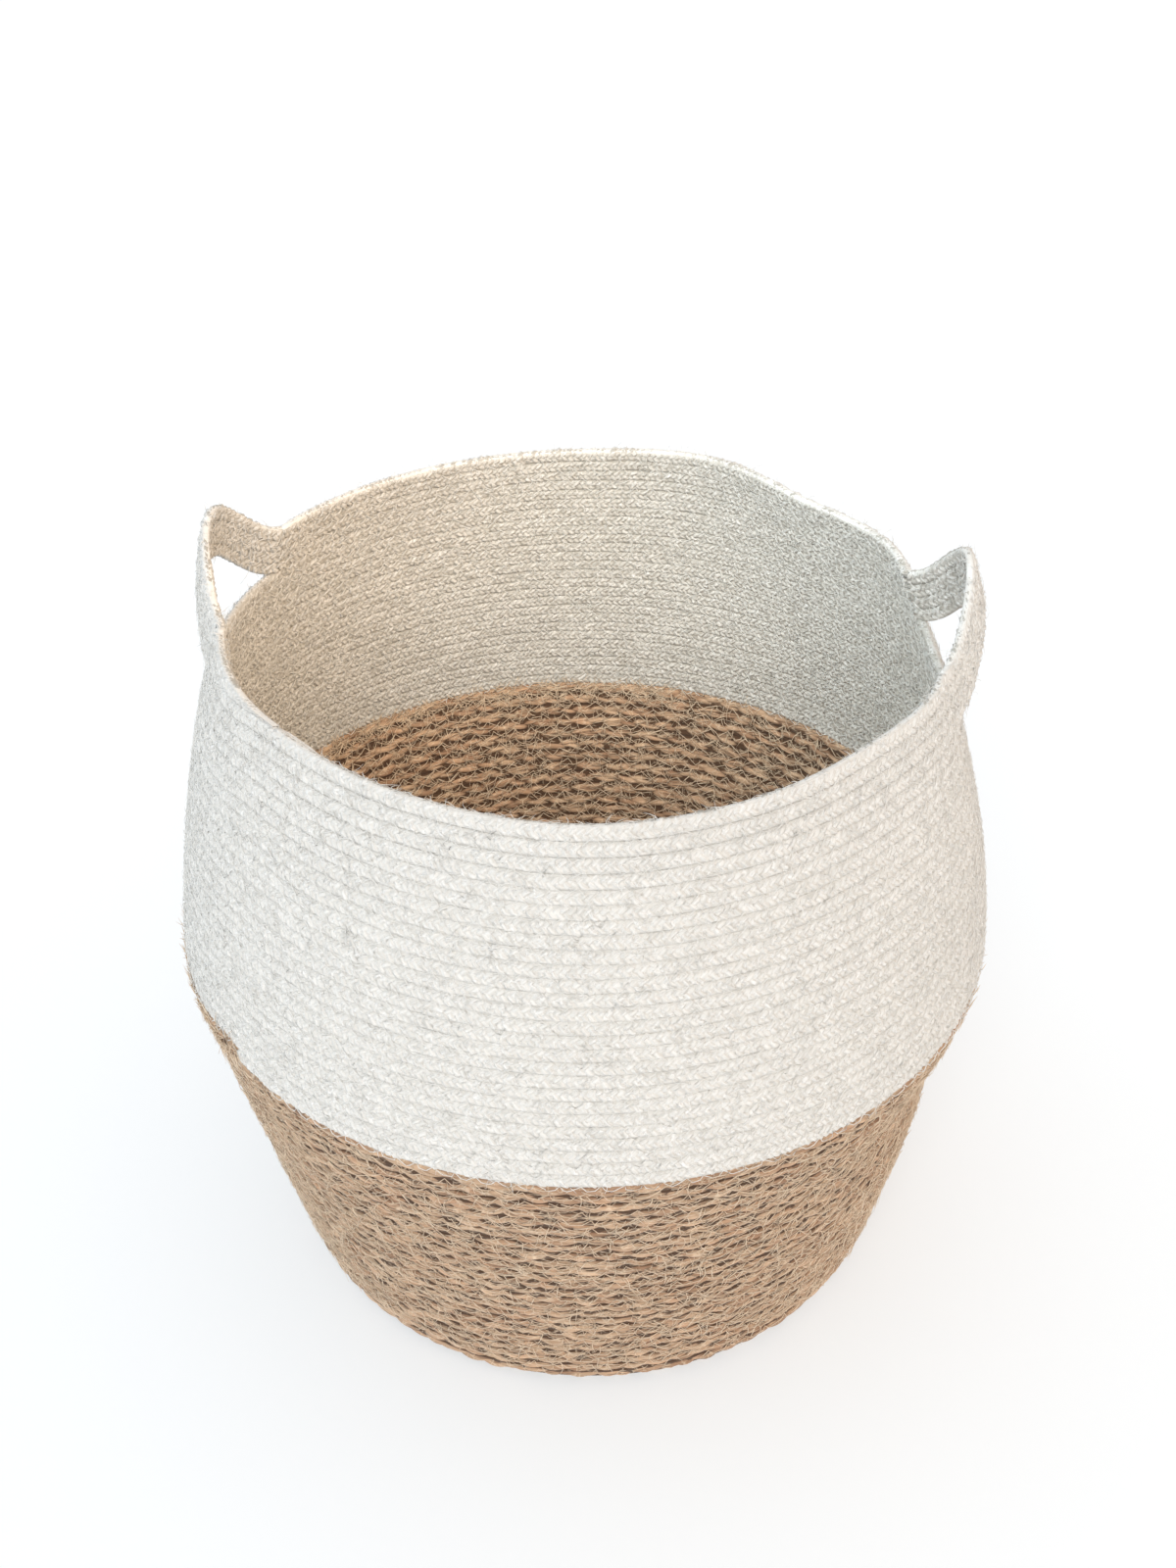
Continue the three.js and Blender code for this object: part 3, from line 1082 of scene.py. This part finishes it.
NATURAL_THREAD = BraidFinish(
    name="natural_thread", light=(0.88, 0.74, 0.57), dark=(0.50, 0.35, 0.23), patch=(0.84, 0.70, 0.55),
    crevice_shade=(0.3, 0.2, 0.12), fibre=(0.8, 0.66, 0.5), tone_share=0.5, patch_share=0.2, streak_share=0.2,
    crevice_shade_share=0.0, crevice_shade_edge=0.8, gap_share=0.0, fineness=3000.0, yarns=1500.0, blotches=90.0,
    bump=0.2, roughness=0.8, sheen=0.1, curly_share=0.0, curly_scale=300.0,
)
WHITE_THREAD = BraidFinish(
    name="white_thread", light=(0.84, 0.83, 0.80), dark=(0.62, 0.60, 0.56), patch=(0.80, 0.79, 0.76),
    crevice_shade=(0.5, 0.48, 0.45), fibre=(0.85, 0.84, 0.82), tone_share=0.2, patch_share=0.2, streak_share=0.2,
    crevice_shade_share=0.0, crevice_shade_edge=0.8, gap_share=0.0, fineness=3000.0, yarns=1500.0, blotches=90.0,
    bump=0.2, roughness=0.8, sheen=0.2, curly_share=0.0, curly_scale=300.0,
)

NATURAL_BRAID = BraidSpec(
    repeat=46 * MM, samples=20, sides=8, swing=1.65 * MM, depth=1.05 * MM, strand_width=2.2 * MM,
    strand_depth=2.15 * MM, uneven=0.28, slack=0.42 * MM, phase_drift=1.8, pitch=8.19 * MM, edge_shade=0.5,
    core_depth=1.8 * MM, core_proud=0.22, inner_proud=0.74,
)
WHITE_BRAID = BraidSpec(
    repeat=10.5 * MM, samples=11, sides=6, swing=2.35 * MM, depth=0.9 * MM, strand_width=1.8 * MM,
    strand_depth=2.3 * MM, uneven=0.2, slack=0.4 * MM, phase_drift=0.8, pitch=7.36 * MM, edge_shade=0.0,
    core_depth=2.1 * MM, core_proud=0.6, inner_proud=0.52,
)


@dataclass
class Stretch:
    """One stretch of the coil, as it is cut out of its braid, with the CAD node that it stands for.

    A stretch of the top four turns also says which of them it is, whether it lies in the rim or in a handle,
    and in which half of the handle.
    """

    name: str
    first: float
    last: float
    node: str
    where: str = "rim"
    half: str = ""
    turn: int = 0


@dataclass
class NaturalBraid:
    """The jute braid: the base coil, the foot and the wall up to the belly."""

    coiler: Coiler
    slot: str = "natural_braid"
    pieces: list = field(default_factory=list)

    def stretches(self) -> list[Stretch]:
        """Mark out the braid.

        Returns:
            The stretches, from the middle of the base upwards.
        """
        start = self.coiler.form.start_row - BASE_START_INSET
        third = NATURAL_WALL_TURNS / 3
        found = [
            Stretch("base_coil_start", start, start + BASE_START_TURNS, "base_coil_start"),
            Stretch("base_coil_inner", start + BASE_START_TURNS, BASE_INNER_END, "base_coil"),
            Stretch("base_coil_outer", BASE_INNER_END, FOOT_TURN_START, "base_coil"),
            Stretch("foot_turn", FOOT_TURN_START, 0.0, "foot_turn"),
        ]
        for i, label in enumerate(("lower", "middle", "upper")):
            for half in (0, 1):
                first = third * (i + half / 2)
                found.append(Stretch(f"natural_wall_{label}_{half + 1}", first, first + third / 2,
                                     f"natural_wall_{label}"))
        return found

    def build(self) -> list[bpy.types.Object]:
        """Plait the braid and cut it into its pieces.

        Returns:
            The pieces.
        """
        rng = np.random.default_rng(SEED)
        finish = NATURAL_FINISH.material()
        stretches = self.stretches()
        path = self.coiler.path(stretches[0].first, WHITE_FOOT, NATURAL_BRAID.step)
        braid = BraidedCoil(path, NATURAL_BRAID, rng)
        for s in stretches:
            made = braid.cut(s.first, s.last).build(s.name, finish)
            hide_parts(s.node)
            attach(made, "basket_body")
            self.pieces.append(made)
        return self.pieces

    def sew(self) -> list[bpy.types.Object]:
        """Add the seam thread and the stray fibres.

        Returns:
            The pieces of both.
        """
        rng = np.random.default_rng(SEED + 1)
        finish = NATURAL_THREAD.material()
        thread = SeamThread(self.coiler, stitch=6.4 * MM, reach=2.6 * MM, thickness=0.5 * MM, crest=3.75 * MM)
        jobs = [("natural_seam_outside", Face.OUTSIDE, 0.2), ("natural_seam_inside", Face.INSIDE, -8.0)]
        made = [thread.line(first, WHITE_FOOT, face, rng).build(name, finish) for name, face, first in jobs]
        fibres = StrayFibres(self.coiler, crest=3.5 * MM, shortest=4 * MM, longest=13 * MM,
                             thickness=0.5 * MM, stand=1.7 * MM, heading_spread=0.9)
        fields = (("lower", 0.3, 13.0, 5200), ("upper", 13.0, WHITE_FOOT, 5800),
                  ("fringe", WHITE_FOOT - 0.4, WHITE_FOOT, 900))
        for face in Face:
            for label, first, last, count in fields:
                scattered = fibres.scatter(first, last, count, rng, float(face is Face.INSIDE))
                made.append(scattered.build(f"natural_stray_fibres_{label}_{face.name.lower()}", finish))
        for piece in made:
            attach(piece, "basket_body")
        self.pieces += made
        return made


@dataclass
class WhiteBraid:
    """The cotton braid: the upper wall, the rim and the two handles."""

    coiler: Coiler
    slot: str = "white_braid"
    blend_run: float = 36 * MM
    root_inset: float = 3 * MM
    wall_fuzz: int = 8500  # fibres on each face of the wall
    band_fuzz: float = 900.0  # fibres on each of the top turns
    top_fuzz: float = 0.4  # the share of them on the rim's upper edge
    pieces: list = field(default_factory=list)

    def turn_at(self, degrees: float, turn: int) -> float:
        """Return the place on the coil where whole turn number turn passes an angle."""
        return turn + ((degrees - STEP_UP_END) % 360.0) / 360.0

    def wall_stretches(self) -> list[Stretch]:
        """Mark out the wall below the handles.

        Returns:
            The stretches, from the belly upwards.
        """
        ninth = WHITE_WALL_TURNS / 9
        return [
            Stretch(f"white_wall_{label}_{part + 1}", WHITE_FOOT + ninth * (3 * i + part),
                    WHITE_FOOT + ninth * (3 * i + part + 1), f"white_wall_{label}")
            for i, label in enumerate(("lower", "middle", "upper")) for part in range(3)
        ]

    def band_stretches(self) -> list[Stretch]:
        """Mark out the top four turns, each from where it steps up and round past both handles.

        Returns:
            The stretches of the rim and the handles, turn by turn.
        """
        left, right = (
            tuple(h.angle + side * math.degrees(h.half_angle) for side in (-1, 0, 1)) for h in HANDLES)
        found = []
        for number in range(1, BAND_TURNS + 1):
            turn = BAND_START + number - 1
            cuts = [turn, *(self.turn_at(angle, turn) for angle in (*right, *left)), turn + 1]
            parts = (
                ("rim_front", "_a", "rim", ""),
                ("handle_right", "_front", "right", "first"),
                ("handle_right", "_back", "right", "second"),
                ("rim_back", "", "rim", ""),
                ("handle_left", "_back", "left", "first"),
                ("handle_left", "_front", "left", "second"),
                ("rim_front", "_b", "rim", ""),
            )
            for (label, tail, where, half), first, last in zip(parts, cuts, cuts[1:]):
                node = f"{label}_turn_{number}"
                found.append(Stretch(node + tail, first, last, node, where, half, number))
        return found

    def carry(self, piece: bpy.types.Object, where: str) -> None:
        """Attach a piece to the basket's body if it lies in the rim; a handle piece only has its place baked
        into its mesh.

        Args:
            piece: The finished object.
            where: "rim", or the handle's side.
        """
        if where == "rim":
            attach(piece, "basket_body")
            return
        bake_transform(piece)

    def build(self) -> list[bpy.types.Object]:
        """Plait the braid and cut it into its pieces.

        Returns:
            The pieces.
        """
        rng = np.random.default_rng(SEED + 2)
        finish = WHITE_FINISH.material()
        path = self.coiler.path(WHITE_FOOT, COIL_END, WHITE_BRAID.step)
        braid = BraidedCoil(path, WHITE_BRAID, rng)
        for s in self.wall_stretches() + self.band_stretches():
            made = braid.cut(s.first, s.last).build(s.name, finish)
            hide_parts(s.node)
            self.carry(made, s.where)
            self.pieces.append(made)
        return self.pieces

    def sew(self) -> list[bpy.types.Object]:
        """Add the seam thread and the short loose fibres.

        Returns:
            The pieces of both.
        """
        rng = np.random.default_rng(SEED + 3)
        finish = WHITE_THREAD.material()
        thread = SeamThread(self.coiler, stitch=5.0 * MM, reach=2.3 * MM, thickness=0.45 * MM,
                            crest=3.35 * MM)
        fuzz = StrayFibres(self.coiler, crest=3.1 * MM, shortest=2.5 * MM, longest=7 * MM,
                           thickness=0.36 * MM, stand=1.3 * MM, heading_spread=1.0, curl=0.6)
        made = []
        for face in Face:
            name = f"white_seam_{face.name.lower()}"
            piece = thread.line(WHITE_FOOT + 0.02, BAND_START, face, rng).build(name, finish)
            made.append((piece, "rim", ""))
        for face in Face:
            scattered = fuzz.scatter(WHITE_FOOT, BAND_START, self.wall_fuzz, rng, float(face is Face.INSIDE))
            made.append((scattered.build(f"white_fuzz_{face.name.lower()}", finish), "rim", ""))
        for s in self.band_stretches():
            last = min(s.last, COIL_END - STEP_UP_SHARE)
            if last - s.first > 0.02 and (s.turn > 1 or s.where == "rim"):
                for face in Face:
                    name = f"{s.name.replace('_turn_', '_seam_')}_{face.name.lower()}"
                    made.append((thread.line(s.first, last, face, rng).build(name, finish), s.where, s.half))
            count = int(self.band_fuzz * (last - s.first)) + 4
            on_edge = self.top_fuzz if s.turn == BAND_TURNS else 0.0
            piece = fuzz.scatter(s.first, last, count, rng, edge_share=on_edge)
            made.append((piece.build(s.name.replace("_turn_", "_fuzz_"), finish), s.where, s.half))
        for piece, where, half in made:
            self.carry(piece, where)
            self.pieces.append(piece)
        return [piece for piece, _, _ in made]


@dataclass
class TuckedEnd:
    """The end of a braid, folded to the inside and sewn down flat."""

    form: BasketForm
    name: str
    middle: float
    height: float
    half: float
    spec: BraidSpec
    slot: str
    length: float = 40 * MM
    depth: float = 3.4 * MM

    def build(self, finish: bpy.types.Material) -> bpy.types.Object:
        """Make the end.

        Args:
            finish: The braid's own material.

        Returns:
            The piece, riding on the basket.
        """
        low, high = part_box(self.name)
        z = (low.z + high.z) / 2
        rng = np.random.default_rng(SEED + int(self.middle))
        n = max(12, int(self.length / self.spec.step))
        along = np.arange(n) * self.spec.step
        share = along / along[-1]
        wall = float(self.form.profile(np.array(z))) + float(
            self.form.push(np.array(math.radians(self.middle)), np.array(z)))
        angle = math.radians(self.middle) + (0.5 - share) * self.length / wall
        heights = np.full(n, z)
        outer = self.form.profile(heights) + self.form.push(angle, heights)
        radius = outer - 2 * self.half - 0.4 * self.depth
        shift = FOOT_SHIFT * max(0.0, 1 - z / BELLY_HEIGHT)
        points = np.stack([radius * np.cos(angle) + shift, radius * np.sin(angle), heights], -1)
        forward = unit(np.gradient(points, axis=0))
        across = np.tile([0.0, 0.0, 1.0], (n, 1))
        outward = unit(np.cross(forward, across))
        taper = 0.35 + 0.65 * smoothstep(share * 3) * smoothstep((1 - share) * 3)
        path = CoilPath(share, along, points, forward, across, outward, taper * 0.85)
        flat = BraidSpec(**{**self.spec.__dict__, "depth": self.spec.depth * 0.5,
                            "strand_depth": self.spec.strand_depth * 0.6})
        made = BraidedCoil(path, flat, rng).cut(-1.0, 2.0).build(self.name + "_sewn", finish)
        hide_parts(self.name)
        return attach(made, "basket_body")


@dataclass(frozen=True)
class SoftLamp:
    """A soft lamp that hangs over the mouth of the basket: place and aim in metres, power in watts."""

    name: str
    place: Triple
    aim: Triple
    power: float
    colour: Triple
    size: float = 0.12
    spread: float = 95.0

    def hang(self) -> None:
        """Hang the lamp."""
        data = bpy.data.lights.new(self.name, "AREA")
        data.size, data.energy, data.color = self.size, self.power, self.colour
        data.spread = math.radians(self.spread)
        made = bpy.data.objects.new(self.name, data)
        made.location = self.place
        made.rotation_euler = (Vector(self.aim) - Vector(self.place)).to_track_quat("-Z", "Y").to_euler()
        made.visible_camera = False
        bpy.context.scene.collection.objects.link(made)


@dataclass
class Studio:
    """The pale floor, the soft lamps and the camera."""

    camera_distance: float = 1.003
    camera_tilt: float = 35.673
    aim_height: float = 0.2866
    lens: float = 41.67
    shift: float = 0.0019
    left_light: Triple = (0.72, 0.835, 0.93)
    middle_light: Triple = (0.92, 0.92, 0.92)
    right_light: Triple = (0.91, 0.715, 0.55)
    key_from: Triple = (-0.08, -1.0, 0.75)
    key_power: float = 1.45
    key_colour: Triple = (1.0, 0.985, 0.96)
    key_softness: float = 38.0
    lamps: tuple[SoftLamp, ...] = (
        SoftLamp("lamp_warm", (0.07, -0.06, 0.50), (-0.16, 0.13, 0.2), 0.27, (1.0, 0.77, 0.54)),
        SoftLamp("lamp_cool", (-0.07, -0.06, 0.50), (0.15, 0.14, 0.2), 0.225, (0.90, 1.0, 0.98)),
    )
    floor_half: float = 12.0
    floor_colour: Triple = (0.53, 0.56, 0.585)
    floor_glow: float = 0.42

    def floor(self) -> bpy.types.Object:
        """Lay the floor.

        Returns:
            The floor.
        """
        mesh = bpy.data.meshes.new("floor")
        half = self.floor_half
        mesh.from_pydata([(-half, -half, 0), (half, -half, 0), (half, half, 0), (-half, half, 0)], [],
                         [(0, 1, 2, 3)])
        made = bpy.data.objects.new("floor", mesh)
        bpy.context.scene.collection.objects.link(made)
        paint = bpy.data.materials.new("floor_paint")
        paint.use_nodes = True
        shader = paint.node_tree.nodes["Principled BSDF"]
        shader.inputs["Base Color"].default_value = (*self.floor_colour, 1)
        shader.inputs["Emission Color"].default_value = (1, 1, 1, 1)
        shader.inputs["Emission Strength"].default_value = self.floor_glow
        shader.inputs["Roughness"].default_value = 0.9
        shader.inputs["Specular IOR Level"].default_value = 0.1
        mesh.materials.append(paint)
        made.location.z = min(CAD_BOX[0].z, 0.0) - 0.5 * MM
        return made

    def surroundings(self) -> None:
        """Light the room from all round: cooler on the left, warmer on the right, plain where it shows."""
        world = bpy.data.worlds.new("surroundings")
        bpy.context.scene.world = world
        world.use_nodes = True
        nodes, links = world.node_tree.nodes, world.node_tree.links
        lighting = nodes["Background"]
        shown = nodes.new("ShaderNodeBackground")
        shown.inputs["Color"].default_value = (1, 1, 1, 1)
        direction = nodes.new("ShaderNodeTexCoord")
        split = nodes.new("ShaderNodeSeparateXYZ")
        side = nodes.new("ShaderNodeMapRange")
        side.inputs["From Min"].default_value = -1.0
        tint = nodes.new("ShaderNodeValToRGB")
        ramp = tint.color_ramp.elements
        ramp[0].position, ramp[0].color = 0.1, (*self.left_light, 1)
        ramp[1].position, ramp[1].color = 0.9, (*self.right_light, 1)
        middle = ramp.new(0.5)
        middle.color = (*self.middle_light, 1)
        ray = nodes.new("ShaderNodeLightPath")
        mix = nodes.new("ShaderNodeMixShader")
        links.new(direction.outputs["Generated"], split.inputs[0])
        links.new(split.outputs["X"], side.inputs["Value"])
        links.new(side.outputs[0], tint.inputs["Fac"])
        links.new(tint.outputs["Color"], lighting.inputs["Color"])
        links.new(ray.outputs["Is Camera Ray"], mix.inputs["Fac"])
        links.new(lighting.outputs[0], mix.inputs[1])
        links.new(shown.outputs[0], mix.inputs[2])
        links.new(mix.outputs[0], nodes["World Output"].inputs["Surface"])

    def light(self) -> None:
        """Set the surroundings and the lamps."""
        self.surroundings()
        for lamp in self.lamps:
            lamp.hang()
        data = bpy.data.lights.new("key_lamp", "SUN")
        data.energy, data.angle, data.color = self.key_power, math.radians(self.key_softness), self.key_colour
        made = bpy.data.objects.new("key_lamp", data)
        made.rotation_euler = (-Vector(self.key_from)).to_track_quat("-Z", "Y").to_euler()
        bpy.context.scene.collection.objects.link(made)
        view = bpy.context.scene.view_settings
        view.view_transform = "Standard"
        view.look = "None"

    def camera(self) -> bpy.types.Object:
        """Set up the camera.

        Returns:
            The camera.
        """
        data = bpy.data.cameras.new("camera")
        data.lens, data.shift_x = self.lens, self.shift
        data.clip_start, data.clip_end = 0.05, 50
        made = bpy.data.objects.new("camera", data)
        tilt = math.radians(self.camera_tilt)
        made.location = (0, -self.camera_distance * math.cos(tilt),
                         self.aim_height + self.camera_distance * math.sin(tilt))
        made.rotation_euler = (math.pi / 2 - tilt, 0, 0)
        bpy.context.scene.collection.objects.link(made)
        bpy.context.scene.camera = made
        return made


def report(pieces: list[bpy.types.Object]) -> None:
    """Log each piece's name and how many faces it has."""
    for piece in pieces:
        log.info("%s: %d faces", piece.name, len(piece.data.polygons))


def main() -> None:
    logging.basicConfig(level=logging.INFO, format="%(message)s")
    studio = Studio()
    studio.camera()
    studio.floor()
    studio.light()
    form = BasketForm()
    coiler = Coiler(form)
    natural = NaturalBraid(coiler)
    report(natural.build())
    report(natural.sew())
    white = WhiteBraid(coiler)
    report(white.build())
    report(white.sew())
    ends = (
        (TuckedEnd(form, "natural_braid_end", 250, BELLY_HEIGHT, form.natural_half, NATURAL_BRAID,
                   natural.slot), natural.pieces[0].active_material),
        (TuckedEnd(form, "white_braid_end", 222, RIM_HEIGHT, form.white_half, WHITE_BRAID,
                   white.slot), white.pieces[0].active_material),
    )
    report([end.build(finish) for end, finish in ends])


if __name__ == "__main__":
    main()
